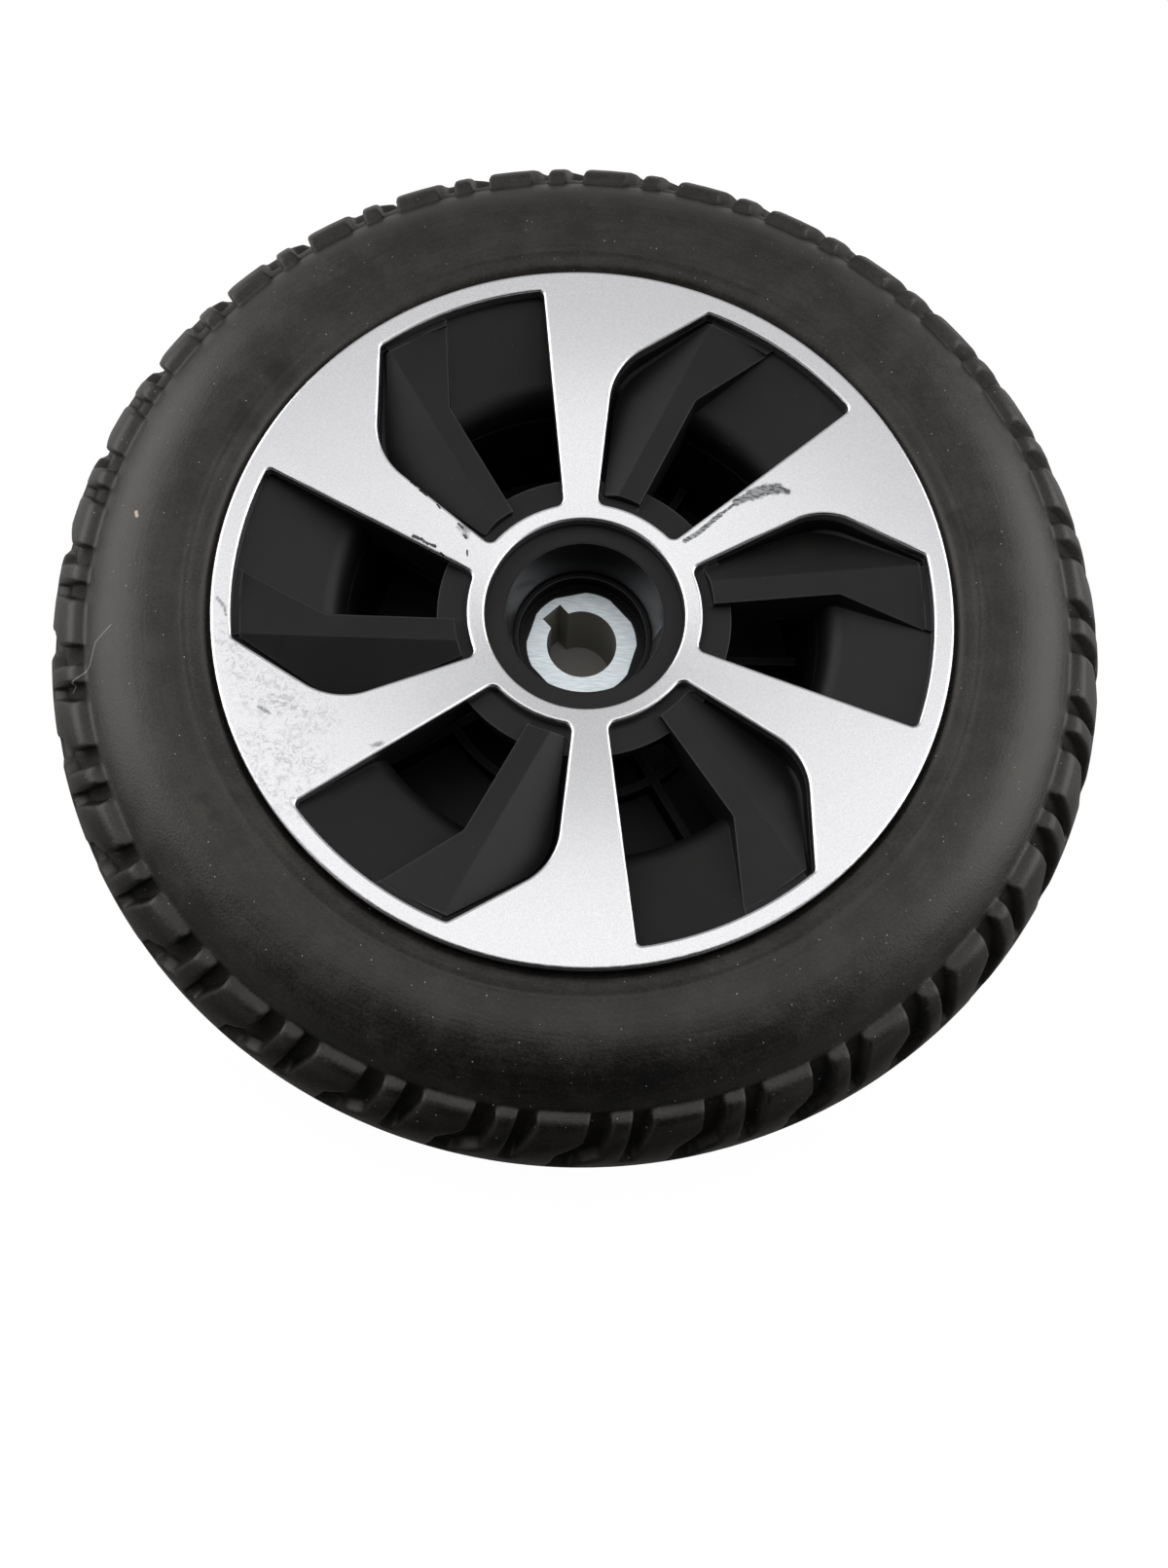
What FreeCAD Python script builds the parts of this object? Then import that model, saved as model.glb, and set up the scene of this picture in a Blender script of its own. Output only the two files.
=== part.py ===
import FreeCAD, Part
import os
from math import atan2, cos, degrees, hypot, radians, sin, sqrt

# Power wheelchair drive wheel, nominal 10 x 2 inch. Sizes in millimetres, angles in degrees.
# The axle lies along Z and the face looks up. Z = 0 is the hub's rear end, its seat on the shaft.
# Angles are counter-clockwise seen from the face. Repeats are written once and turned about Z.

# Tyre
tyre_diameter = 254.0
tyre_width = 47.6
tyre_wall = 5.0
tyre_middle_height = 38.0
sidewall_radius = 21.8
sidewall_centre_radius = 99.0
tread_depth = 3.0
tread_foot_radius = 114.0
tread_top_section_radius = 22.1
shoulder_angle = 57.0
tread_root = 1.2
tread_pitches = 30
bead_toe_width = 5.1
bead_inner_height = 5.6
foam_clearance = 0.3

# Grooves of one pitch, as (turn from the wide block's leading edge, distance from the middle plane).
# The slot lies between the narrow and the wide block, the gully between the wide and the next narrow block.
slot_outline = [(-7.4, 23.0), (-4.2, 23.0), (-6.0, 18.4), (-7.3, 13.9),
                (-8.2, 9.2), (-9.5, 9.2), (-8.4, 16.7)]
gully_outline = [(0.2, 23.0), (2.6, 23.0), (1.4, 17.0), (0.4, 10.6), (-1.4, 8.2), (-2.6, 4.0),
                 (-4.8, 4.0), (-4.1, 8.7), (-3.8, 11.6), (-1.1, 15.3)]
tread_start_angle = 0.8

# Face plate, a shallow dish with six windows
plate_radius = 85.3
plate_hole_radius = 23.9
plate_edge_height = 22.0
plate_dish = 11.1
plate_thickness = 2.5
plate_ring_width = 4.65
plate_hub_ring_width = 4.45
plate_edge_round = 0.8
plate_seat_clearance = 0.2
window_count = 6
straight_side_angle = 41.75
straight_side_offset = 2.5
kinked_side_angle = 89.5
kink_radius = 62.3
kink_turn = 54.5
kink_round = 15.0
window_outer_round = 1.2
window_inner_round = 2.0
smallest_round = 0.4

# Rim halves: bead flanges, seats, well, and the sloping ledge behind the windows
flange_inset = 0.7
flange_lip = 1.9
flange_slope_height = 3.0
flange_slope_width = 5.1
bead_heel = 2.5
bead_seat_width = 5.5
well_depth = 5.0
well_slope = 2.0
rim_wall = 3.5
ledge_inner_radius = 58.5
ledge_inner_drop = 9.0
ledge_outer_drop = 3.9
ledge_round = 6.0
ledge_step_inset = 0.75
bead_clearance = 0.3

# Bladed spokes of the front half
blade_drop = 0.3
blade_end_gap = 2.7
plate_groove = 1.25
groove_depth = 1.5
kink_drop = 8.9
free_edge_kink_radius = 60.45
free_edge_kink_angle = 69.2
free_edge_inner_direction = 68.1
free_edge_outer_direction = 39.2
free_edge_outer_drop = 3.6
free_edge_round = 3.0
crease_inner_radius = 33.0
crease_inner_angle = 80.0
crease_outer_angle = 72.9
crease_outer_drop = 1.8
spoke_side_inset = 0.8
spoke_root = 2.0
spoke_roof = 10.5

# Hub of the front half
hub_flange_radius = 35.4
hub_flange_thickness = 5.5
hub_radius = 22.0
hub_flare_height = 10.0
cup_mouth_radius = 19.1
cup_mouth_drop = 3.0
cup_step_radius = 17.3
cup_step_height = 5.0
cup_step_width = 1.0
seat_inner_gap = 0.5

# Keyed steel bush moulded into the hub
bush_radius = 14.2
bush_length = 27.0
bore_radius = 9.0
key_width = 6.0
key_depth = 2.8
key_angle = 137.7
collar_radius = 17.0
collar_height = 9.0
collar_thickness = 6.0
notch_depth = 0.6
notch_height = 3.0
notch_angle = 48.0

# Floor of the rear half and its ribs
web_height = 2.0
rib_height = 10.0
rib_thickness = 2.2
rib_count = 12
rib_angle = 6.0
rib_ring_radius = 39.2
hub_clearance = 0.3
hub_collar_wall = 2.7

# Bolts that clamp the halves, with washers and threaded inserts
bolt_circle_radius = 67.6
bolt_angle = 65.0
bolt_radius = 2.5
bolt_head_radius = 4.25
bolt_head_height = 5.0
bolt_socket_width = 4.0
bolt_socket_depth = 2.8
bolt_hole_clearance = 0.3
bolt_length = 16.0
bolt_seat_depth = 9.0
bolt_boss_radius = 4.3
washer_radius = 5.0
washer_thickness = 1.0
counterbore_clearance = 0.3
insert_radius = 3.3
insert_length = 8.0
insert_hole_extra = 0.5

# Screws that hold the face plate from behind
screw_circle_radius = 65.25
screw_angle = 95.0
screw_radius = 1.5
screw_head_radius = 2.9
screw_head_height = 2.2
screw_grip = 4.0
screw_boss_radius = 4.0
screw_boss_drop = 1.3
screw_hole_clearance = 0.3
post_radius = 3.0
post_length = 4.8
post_clearance = 0.3
screw_tip_gap = 0.5

# Values that follow from the sizes above
middle = tyre_middle_height
face_top = middle + plate_edge_height
dish_slope = plate_dish / (plate_radius - plate_hole_radius)
window_outer_radius = plate_radius - plate_ring_width
window_inner_radius = plate_hole_radius + plate_hub_ring_width
window_turn = 360.0 / window_count
pitch_turn = 360.0 / tread_pitches
ledge_outer_radius = window_outer_radius + ledge_step_inset
flange_radius = plate_radius - flange_inset
bead_seat_radius = flange_radius - flange_slope_width - bead_heel
well_radius = bead_seat_radius - well_depth
hub_seat_radius = plate_hole_radius + seat_inner_gap
groove_floor_radius = tyre_diameter / 2 - tread_depth
top_centre_radius = tyre_diameter / 2 - tread_top_section_radius
sidewall_centre_height = tyre_width / 2 - sidewall_radius
hollow_radius = tyre_width / 2 - tyre_wall
hollow_centre_radius = groove_floor_radius - tyre_wall - hollow_radius
up = FreeCAD.Vector(0, 0, 1)
axle = FreeCAD.Vector(0, 0, 0)


def at(radius, angle, height=0.0):
    return FreeCAD.Vector(radius * cos(radians(angle)), radius * sin(radians(angle)), height)


def face_z(radius):
    """Height of the plate's painted face."""
    return face_top - (plate_radius - radius) * dish_slope


def seat_z(radius):
    """Height of the rim's seat under the plate."""
    return face_z(radius) - plate_thickness - plate_seat_clearance


def ledge_z(radius):
    """Height of the ledge that slopes down behind the windows."""
    inner = face_z(ledge_inner_radius) - ledge_inner_drop
    outer = face_z(ledge_outer_radius) - ledge_outer_drop
    share = (radius - ledge_inner_radius) / (ledge_outer_radius - ledge_inner_radius)
    return inner + (outer - inner) * share


def section_point(centre_radius, section_radius, angle):
    """Point of a tyre section circle, as (radius, distance from the middle plane), angle from the crown."""
    return (centre_radius + section_radius * cos(radians(angle)), section_radius * sin(radians(angle)))


def in_section(radius, height):
    return FreeCAD.Vector(radius, 0, height)


def polygon(points):
    return Part.makePolygon(points + [points[0]])


def turned_ring(points):
    """Solid of revolution of a closed outline of (radius, height) points."""
    outline = polygon([in_section(radius, height) for radius, height in points])
    return Part.Face(outline).revolve(axle, up, 360)


def prism(points, low, high):
    outline = polygon([FreeCAD.Vector(p.x, p.y, low) for p in points])
    return Part.Face(outline).extrude(FreeCAD.Vector(0, 0, high - low))


def cylinder(radius, low, high, centre=axle):
    return Part.makeCylinder(radius, high - low, FreeCAD.Vector(centre.x, centre.y, low), up)


def tube(outer, inner, low, high, centre=axle):
    return cylinder(outer, low, high, centre).cut(cylinder(inner, low, high, centre))


def hexagon(width, low, high, centre=axle, turn=0.0):
    corner = width / 2 / cos(radians(30))
    points = [centre + at(corner, turn + 60.0 * i) for i in range(6)]
    return prism(points, low, high)


def around(shape, count, first=0.0):
    """Copies of a shape turned evenly about the axle."""
    copies = []
    for i in range(count):
        copy = shape.copy()
        copy.rotate(axle, up, first + 360.0 / count * i)
        copies.append(copy)
    return copies


def line(direction, offset):
    """Straight line in plan that runs in a direction and passes the axle at an offset to its left."""
    return (direction, offset)


def line_through(point, direction):
    turn = radians(direction)
    return (direction, point.y * cos(turn) - point.x * sin(turn))


def meet(first, second):
    a, b = radians(first[0]), radians(second[0])
    scale = sin(b - a)
    x = (first[1] * cos(b) - second[1] * cos(a)) / scale
    y = (first[1] * sin(b) - second[1] * sin(a)) / scale
    return FreeCAD.Vector(x, y, 0)


def on_circle(straight, radius):
    """Point where a line leaves a circle."""
    turn, offset = radians(straight[0]), straight[1]
    run = sqrt(radius ** 2 - offset ** 2)
    return FreeCAD.Vector(run * cos(turn) - offset * sin(turn), run * sin(turn) + offset * cos(turn), 0)


def arc_between(first, last, radius):
    half = (degrees(atan2(first.y, first.x)) + degrees(atan2(last.y, last.x))) / 2
    return Part.Arc(first, at(radius, half), last).toShape()


def round_corner(solid, corner, radius):
    """Rounds the upright edge of a prism that stands over a corner in plan."""
    chosen = []
    for edge in solid.Edges:
        start, end = edge.Vertexes[0].Point, edge.Vertexes[-1].Point
        upright = abs(start.z - end.z) > 1.0
        if upright and hypot(start.x - corner.x, start.y - corner.y) < 0.01:
            chosen.append(edge)
    return solid.makeFillet(radius, chosen)


# Lines of one window and of the blade's free edge in plan
kink_point = at(kink_radius, kinked_side_angle)
kinked_outer = line_through(kink_point, kinked_side_angle - kink_turn)
free_kink_point = at(free_edge_kink_radius, free_edge_kink_angle)
free_inner = line_through(free_kink_point, free_edge_inner_direction)
free_outer = line_through(free_kink_point, free_edge_outer_direction)


def window(inset, inner_gap, low, high):
    """Prism of one window, with its sides moved in by an inset and its inner end by a gap."""
    outer_radius = window_outer_radius - inset
    inner_radius = window_inner_radius + inner_gap
    straight = line(straight_side_angle, straight_side_offset + inset)
    slanted = line(kinked_outer[0], kinked_outer[1] - inset)
    radial = line(kinked_side_angle, -inset)
    straight_inner = on_circle(straight, inner_radius)
    straight_outer = on_circle(straight, outer_radius)
    kinked_corner = on_circle(slanted, outer_radius)
    kink = meet(slanted, radial)
    radial_inner = on_circle(radial, inner_radius)
    edges = [Part.LineSegment(straight_inner, straight_outer).toShape(),
             arc_between(straight_outer, kinked_corner, outer_radius),
             Part.LineSegment(kinked_corner, kink).toShape(),
             Part.LineSegment(kink, radial_inner).toShape(),
             arc_between(radial_inner, straight_inner, inner_radius)]
    solid = Part.Face(Part.Wire(edges)).extrude(FreeCAD.Vector(0, 0, high - low))
    outer_round = max(window_outer_round - inset, smallest_round)
    inner_round = max(window_inner_round - inset, smallest_round)
    for corner in (straight_outer, kinked_corner):
        solid = round_corner(solid, corner, outer_round)
    for corner in (straight_inner, radial_inner):
        solid = round_corner(solid, corner, inner_round)
    solid = round_corner(solid, kink, kink_round - inset)
    solid.translate(FreeCAD.Vector(0, 0, low))
    return solid


def build_face_plate():
    plate = turned_ring([(plate_hole_radius, face_z(plate_hole_radius)),
                         (plate_radius, face_z(plate_radius)),
                         (plate_radius, face_z(plate_radius) - plate_thickness),
                         (plate_hole_radius, face_z(plate_hole_radius) - plate_thickness)])
    plate = plate.cut(around(window(0.0, 0.0, 0.0, face_top + plate_thickness), window_count))
    top_edges = []
    for edge in plate.Edges:
        middle_point = edge.valueAt((edge.FirstParameter + edge.LastParameter) / 2)
        points = [vertex.Point for vertex in edge.Vertexes] + [middle_point]
        if all(abs(p.z - face_z(hypot(p.x, p.y))) < 0.01 for p in points):
            top_edges.append(edge)
    plate = plate.makeFillet(plate_edge_round, top_edges)
    centre = at(screw_circle_radius, screw_angle)
    under = face_z(screw_circle_radius) - plate_thickness
    post = cylinder(post_radius, under - post_length, under + plate_thickness / 2, centre)
    pilot = cylinder(screw_radius, under - post_length, under - screw_tip_gap, centre)
    plate = plate.fuse(around(post, window_count))
    return plate.cut(around(pilot, window_count)).removeSplitter()


def rim_side(sign):
    """Tyre side of one rim half, from the flange's edge to the well at the middle plane."""
    edge = seat_z(flange_radius) - middle
    lip = edge - flange_lip
    slope_end = lip - flange_slope_height
    seat_start = slope_end - bead_heel
    seat_end = seat_start - bead_seat_width
    points = [(flange_radius, edge),
              (flange_radius, lip),
              (flange_radius - flange_slope_width, slope_end),
              (bead_seat_radius, seat_start),
              (bead_seat_radius, seat_end),
              (well_radius, seat_end - well_slope),
              (well_radius, 0.0)]
    return [(radius, middle + sign * height) for radius, height in points]


def channel(sign):
    """Inner side of one rim half's hollow, from the well to the foot of its inner wall."""
    def height(z):
        return middle + sign * (z - middle)
    outer = well_radius - rim_wall
    inner = ledge_inner_radius + rim_wall
    return [(outer, middle),
            (outer, height(ledge_z(outer) - rim_wall)),
            (inner, height(ledge_z(inner) - rim_wall)),
            (inner, middle)]


def build_spoke():
    """One bladed spoke, from the hub to the ledge, with its hollow back."""
    far, near = 2 * plate_radius, hub_seat_radius
    side = line(straight_side_angle + window_turn, straight_side_offset - spoke_side_inset)
    outline = [on_circle(free_inner, near), free_kink_point, on_circle(free_outer, far),
               on_circle(side, far), on_circle(side, near)]
    body = prism(outline, middle, face_top)
    body = round_corner(body, free_kink_point, free_edge_round)
    foot = ledge_inner_radius + spoke_root
    envelope = turned_ring([(near, middle),
                            (foot, middle),
                            (foot, ledge_z(foot) - spoke_root),
                            (ledge_outer_radius, ledge_z(ledge_outer_radius) - spoke_root),
                            (ledge_outer_radius, face_z(ledge_outer_radius) - blade_drop),
                            (near, face_z(near) - blade_drop)])
    spoke = body.common(envelope)
    inner, outer = hub_flange_radius + rim_wall, ledge_inner_radius - rim_wall
    back_side = line(side[0], side[1] - rim_wall)
    back_free = line(free_inner[0], free_inner[1] + rim_wall)
    back_outline = [on_circle(back_free, inner), on_circle(back_free, ledge_inner_radius),
                    on_circle(back_side, ledge_inner_radius), on_circle(back_side, inner)]
    back_end = middle - rim_wall
    hollow = turned_ring([(inner, back_end),
                          (outer, back_end),
                          (outer, face_z(outer) - blade_drop - spoke_roof),
                          (inner, face_z(inner) - blade_drop - spoke_roof)])
    spoke = spoke.cut(prism(back_outline, back_end, face_top).common(hollow))
    return spoke.cut(build_facet_spaces())


def under_face(point, drop):
    """Point in plan, set at a drop below the plate's face."""
    return FreeCAD.Vector(point.x, point.y, face_z(hypot(point.x, point.y)) - drop)


def space_over(points, outline, sink=0.0):
    """Space inside an outline in plan, over a plane through three points that is sunk by a depth."""
    first, second, third = points
    normal = (second - first).cross(third - first)
    reach = 2 * plate_radius
    corners = []
    for x, y in ((-reach, -reach), (reach, -reach), (reach, reach), (-reach, reach)):
        z = first.z - (normal.x * (x - first.x) + normal.y * (y - first.y)) / normal.z
        corners.append(FreeCAD.Vector(x, y, z - sink))
    above = Part.Face(polygon(corners)).extrude(FreeCAD.Vector(0, 0, reach))
    return prism(outline, middle, face_top).common(above)


def build_facet_spaces():
    """Spaces over a blade's two facets, which fall from its crease, and in the groove beside the plate."""
    reach = 2 * plate_radius
    outer_radius = window_outer_radius - plate_groove
    crease_end = at(crease_inner_radius, crease_inner_angle)
    crease_corner = at(outer_radius, crease_outer_angle)
    crease = [under_face(crease_corner, crease_outer_drop), under_face(crease_end, blade_drop)]
    crease_path = [at(hub_radius, crease_inner_angle), crease_end, crease_corner * 2 - crease_end]
    free_corner = under_face(on_circle(free_outer, outer_radius), free_edge_outer_drop)
    free_area = crease_path + [at(reach, free_edge_kink_angle - window_turn / 2),
                               at(hub_radius, free_edge_kink_angle)]
    free_side = space_over(crease + [free_corner], free_area)
    free_side = free_side.common(cylinder(outer_radius, middle, face_top))
    kink = under_face(kink_point, kink_drop)
    kink_area = crease_path + [at(reach, kinked_side_angle + window_turn / 2),
                               at(hub_radius, kinked_side_angle + window_turn / 2)]
    blade = window(plate_groove, blade_end_gap, 0.0, face_top)
    kinked_side = space_over(crease + [kink], kink_area).common(blade)
    groove = window(0.0, blade_end_gap, 0.0, face_top).cut(blade)
    groove = space_over(crease + [kink], kink_area, groove_depth).common(groove)
    return [free_side, kinked_side, groove]


def build_hub():
    """Hub with its flange under the plate and the deep cup over the bush."""
    flange_top = seat_z(window_inner_radius + plate_groove)
    mouth = face_z(plate_hole_radius) - cup_mouth_drop
    step = bush_length + cup_step_height
    return turned_ring([(0.0, 0.0),
                        (hub_radius, 0.0),
                        (hub_radius, flange_top - hub_flange_thickness - hub_flare_height),
                        (hub_flange_radius, flange_top - hub_flange_thickness),
                        (hub_flange_radius, flange_top),
                        (window_inner_radius + plate_groove, flange_top),
                        (hub_seat_radius, seat_z(hub_seat_radius)),
                        (hub_seat_radius, mouth),
                        (cup_mouth_radius, mouth),
                        (cup_step_radius, step),
                        (cup_step_radius - cup_step_width, step),
                        (cup_step_radius - cup_step_width, bush_length),
                        (0.0, bush_length)])


def build_bush_outside():
    """Bush without its bore: a round bar with a six-sided collar and shallow notches at the front end."""
    bar = cylinder(bush_radius, 0.0, bush_length)
    collar = hexagon(collar_radius * 2 * cos(radians(30)), collar_height, collar_height + collar_thickness)
    reach = bush_radius - notch_depth
    notch = prism([FreeCAD.Vector(reach, -bush_radius, 0), FreeCAD.Vector(bush_radius * 2, -bush_radius, 0),
                   FreeCAD.Vector(bush_radius * 2, bush_radius, 0), FreeCAD.Vector(reach, bush_radius, 0)],
                  bush_length - notch_height, bush_length)
    return bar.fuse(collar).removeSplitter().cut(around(notch, 6, notch_angle))


def build_hub_insert():
    bore = cylinder(bore_radius, 0.0, bush_length)
    half = key_width / 2
    key = prism([FreeCAD.Vector(0, -half, 0), FreeCAD.Vector(bore_radius + key_depth, -half, 0),
                 FreeCAD.Vector(bore_radius + key_depth, half, 0), FreeCAD.Vector(0, half, 0)],
                0.0, bush_length)
    key.rotate(axle, up, key_angle)
    return build_bush_outside().cut(bore.fuse(key))


# Heights along one clamping bolt
bolt_centre = at(bolt_circle_radius, bolt_angle)
bolt_seat = middle - bolt_seat_depth


def build_rim_front():
    front = rim_side(1)
    section = front + channel(1)
    section += [(ledge_inner_radius, middle),
                (ledge_inner_radius, ledge_z(ledge_inner_radius)),
                (ledge_outer_radius, ledge_z(ledge_outer_radius)),
                (ledge_outer_radius, seat_z(ledge_outer_radius))]
    rim = turned_ring(section)
    ledge_edge = in_section(ledge_inner_radius, ledge_z(ledge_inner_radius))
    inner_edges = [edge for edge in rim.Edges if edge.Vertexes[0].Point.distanceToPoint(ledge_edge) < 0.01
                   and edge.Vertexes[-1].Point.distanceToPoint(ledge_edge) < 0.01]
    rim = rim.makeFillet(ledge_round, inner_edges)
    spokes = around(build_spoke(), window_count)
    screw_centre = at(screw_circle_radius, screw_angle)
    under_ledge = ledge_z(screw_circle_radius) - rim_wall
    screw_seat = under_ledge - screw_boss_drop
    screw_boss = cylinder(screw_boss_radius, screw_seat, under_ledge + rim_wall / 2, screw_centre)
    bolt_boss = cylinder(bolt_boss_radius, middle, ledge_z(bolt_circle_radius) - rim_wall / 2, bolt_centre)
    bosses = around(screw_boss, window_count) + around(bolt_boss, window_count)
    rim = rim.fuse(spokes + bosses + [build_hub()])
    pocket = turned_ring([(plate_hole_radius, seat_z(plate_hole_radius)),
                          (plate_radius, seat_z(plate_radius)),
                          (plate_radius, face_top + plate_thickness),
                          (plate_hole_radius, face_top + plate_thickness)])
    blade_space = window(plate_groove, blade_end_gap, 0.0, face_top + 2 * plate_thickness)
    pocket = pocket.cut(around(blade_space, window_count))
    post_end = face_z(screw_circle_radius) - plate_thickness - post_length
    post_hole = cylinder(post_radius + post_clearance, post_end - post_clearance, face_top, screw_centre)
    screw_hole = cylinder(screw_radius + screw_hole_clearance, screw_seat, face_top, screw_centre)
    insert_hole = cylinder(insert_radius, middle, middle + insert_length, bolt_centre)
    bolt_end = cylinder(bolt_radius, middle, middle + insert_length + insert_hole_extra, bolt_centre)
    holes = []
    for hole in (post_hole, screw_hole, insert_hole, bolt_end):
        holes += around(hole, window_count)
    return rim.cut([pocket, build_bush_outside()] + holes).removeSplitter()


def build_rim_rear():
    back = rim_side(-1)
    web_top = web_height + rim_wall
    rib_top = web_top + rib_height
    wall_outer = ledge_inner_radius + rim_wall
    hole = hub_radius + hub_clearance

    def mirrored(radius):
        return 2 * middle - ledge_z(radius)

    section = back + channel(-1)
    section += [(ledge_inner_radius, middle),
                (ledge_inner_radius, web_top),
                (hole, web_top),
                (hole, web_height),
                (wall_outer, web_height),
                (wall_outer, mirrored(wall_outer)),
                (ledge_outer_radius, mirrored(ledge_outer_radius))]
    rim = turned_ring(section)
    collar = tube(hole + hub_collar_wall, hole, web_height, rib_top)
    ring = tube(rib_ring_radius, rib_ring_radius - rib_thickness, web_height, rib_top)
    half = rib_thickness / 2
    rib_start, rib_end = hole + hub_collar_wall / 2, ledge_inner_radius + rim_wall / 2
    rib = prism([FreeCAD.Vector(rib_start, -half, 0), FreeCAD.Vector(rib_end, -half, 0),
                 FreeCAD.Vector(rib_end, half, 0), FreeCAD.Vector(rib_start, half, 0)], web_height, rib_top)
    boss = cylinder(bolt_boss_radius, bolt_seat, middle, bolt_centre)
    rim = rim.fuse([collar, ring] + around(rib, rib_count, rib_angle) + around(boss, window_count))
    counterbore = cylinder(washer_radius + counterbore_clearance, 0.0, bolt_seat, bolt_centre)
    bolt_hole = cylinder(bolt_radius + bolt_hole_clearance, 0.0, middle, bolt_centre)
    rim = rim.cut(around(counterbore, window_count) + around(bolt_hole, window_count))
    return rim.removeSplitter()


def build_rim_bolt():
    head_top = bolt_seat - washer_thickness
    head = cylinder(bolt_head_radius, head_top - bolt_head_height, head_top, bolt_centre)
    shank = cylinder(bolt_radius, head_top, head_top + bolt_length, bolt_centre)
    socket = hexagon(bolt_socket_width, head_top - bolt_head_height,
                     head_top - bolt_head_height + bolt_socket_depth, bolt_centre)
    return head.fuse(shank).removeSplitter().cut(socket)


def build_rim_washer():
    hole = bolt_radius + bolt_hole_clearance
    return tube(washer_radius, hole, bolt_seat - washer_thickness, bolt_seat, bolt_centre)


def build_threaded_insert():
    return tube(insert_radius, bolt_radius, middle, middle + insert_length, bolt_centre)


def build_plate_screw():
    centre = at(screw_circle_radius, screw_angle)
    seat = ledge_z(screw_circle_radius) - rim_wall - screw_boss_drop
    tip = face_z(screw_circle_radius) - plate_thickness - post_length + screw_grip
    head = cylinder(screw_head_radius, seat - screw_head_height, seat, centre)
    return head.fuse(cylinder(screw_radius, seat, tip, centre)).removeSplitter()


def mirrored_section(half):
    """Closed section outline from its half on the +Z side, which starts and ends on the middle plane."""
    wire = Part.Wire(half)
    other = wire.mirror(FreeCAD.Vector(0, 0, middle), up)
    return Part.Wire(Part.__sortEdges__(wire.Edges + other.Edges))


def section_line(first, last):
    return Part.LineSegment(in_section(*first), in_section(*last)).toShape()


def section_arc(centre_radius, section_radius, start, end):
    points = []
    for angle in (start, (start + end) / 2, end):
        radius, height = section_point(centre_radius, section_radius, angle)
        points.append(in_section(radius, middle + height))
    return Part.Arc(*points).toShape()


def bead_points():
    """Tyre bead against the front flange, clear of the rim, and the foot of the hollow beside it."""
    side = rim_side(1)
    lip, slope, heel = side[1], side[2], side[3]
    outside = flange_radius + bead_clearance
    toe = heel[1] - bead_toe_width
    return {"lip": (outside, lip[1] - bead_clearance),
            "slope": (slope[0] + bead_clearance, slope[1] - bead_clearance),
            "heel": (heel[0] + bead_clearance, heel[1] - bead_clearance),
            "toe": (heel[0] + bead_clearance, toe),
            "shelf": (slope[0] + bead_clearance, toe),
            "knee": (outside, toe + bead_inner_height)}


def sidewall_point(radius):
    """Point of the sidewall's round at a radius."""
    rise = sqrt(sidewall_radius ** 2 - (radius - sidewall_centre_radius) ** 2)
    return (radius, middle + sidewall_centre_height + rise)


def groove_floor_arc():
    """Centre radius, section radius and end angle of the round that the tread grooves bottom on."""
    height = sidewall_point(tread_foot_radius)[1] - middle
    squares = groove_floor_radius ** 2 - tread_foot_radius ** 2 - height ** 2
    centre = squares / (2 * (groove_floor_radius - tread_foot_radius))
    return centre, groove_floor_radius - centre, degrees(atan2(height, tread_foot_radius - centre))


def build_tyre_carcass():
    bead = bead_points()
    foot = sidewall_point(tread_foot_radius)
    widest = sidewall_point(sidewall_centre_radius)
    wall_end = sidewall_point(bead["lip"][0])
    floor_centre, floor_radius, floor_end = groove_floor_arc()
    half = [section_arc(floor_centre, floor_radius, 0.0, floor_end),
            Part.Arc(in_section(*foot), in_section(*widest), in_section(*wall_end)).toShape(),
            section_line(wall_end, bead["lip"]),
            section_line(bead["lip"], bead["slope"]),
            section_line(bead["slope"], bead["heel"]),
            section_line(bead["heel"], bead["toe"]),
            section_line(bead["toe"], bead["shelf"]),
            section_line(bead["shelf"], bead["knee"]),
            section_line(bead["knee"], (hollow_centre_radius, middle + hollow_radius)),
            section_arc(hollow_centre_radius, hollow_radius, 90.0, 0.0)]
    return Part.Face(mirrored_section(half)).revolve(axle, up, 360)


def build_tread():
    """Ring of tread over the carcass, cut into shoulder blocks by slots and gullies on both sides."""
    foot = sidewall_point(tread_foot_radius)
    floor_centre, floor_radius, floor_end = groove_floor_arc()
    root_radius = floor_radius - tread_root
    top_radius, top_height = section_point(top_centre_radius, tread_top_section_radius, shoulder_angle)
    root_end_radius, root_end_height = section_point(floor_centre, root_radius, floor_end)
    half = [section_arc(top_centre_radius, tread_top_section_radius, 0.0, shoulder_angle),
            section_line((top_radius, middle + top_height), foot),
            section_line(foot, (root_end_radius, middle + root_end_height)),
            section_arc(floor_centre, root_radius, floor_end, 0.0)]
    ring = Part.Face(mirrored_section(half)).revolve(axle, up, 360)
    cutters = []
    for outline in (slot_outline, gully_outline):
        front = groove_cutter(outline, 1)
        back = groove_cutter(outline, -1)
        cutters += around(front, tread_pitches, tread_start_angle)
        cutters += around(back, tread_pitches, tread_start_angle + pitch_turn / 2)
    return ring.cut(cutters)


def groove_cutter(outline, side):
    """Prism of one groove, set out on the tread and cut along the radius at its own middle."""
    turns = [turn for turn, rise in outline]
    centre = (min(turns) + max(turns)) / 2
    points = []
    for turn, rise in outline:
        height = min(rise, tread_top_section_radius * sin(radians(shoulder_angle)))
        radius = top_centre_radius + sqrt(tread_top_section_radius ** 2 - height ** 2)
        across = radius * sin(radians(turn - centre))
        points.append(FreeCAD.Vector(0, side * across, middle + side * rise))
    outer = tyre_diameter / 2 + tread_depth
    cutter = Part.Face(polygon(points)).extrude(FreeCAD.Vector(outer - sidewall_centre_radius, 0, 0))
    cutter.translate(FreeCAD.Vector(sidewall_centre_radius, 0, 0))
    cutter.rotate(axle, up, side * centre)
    return cutter


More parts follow.
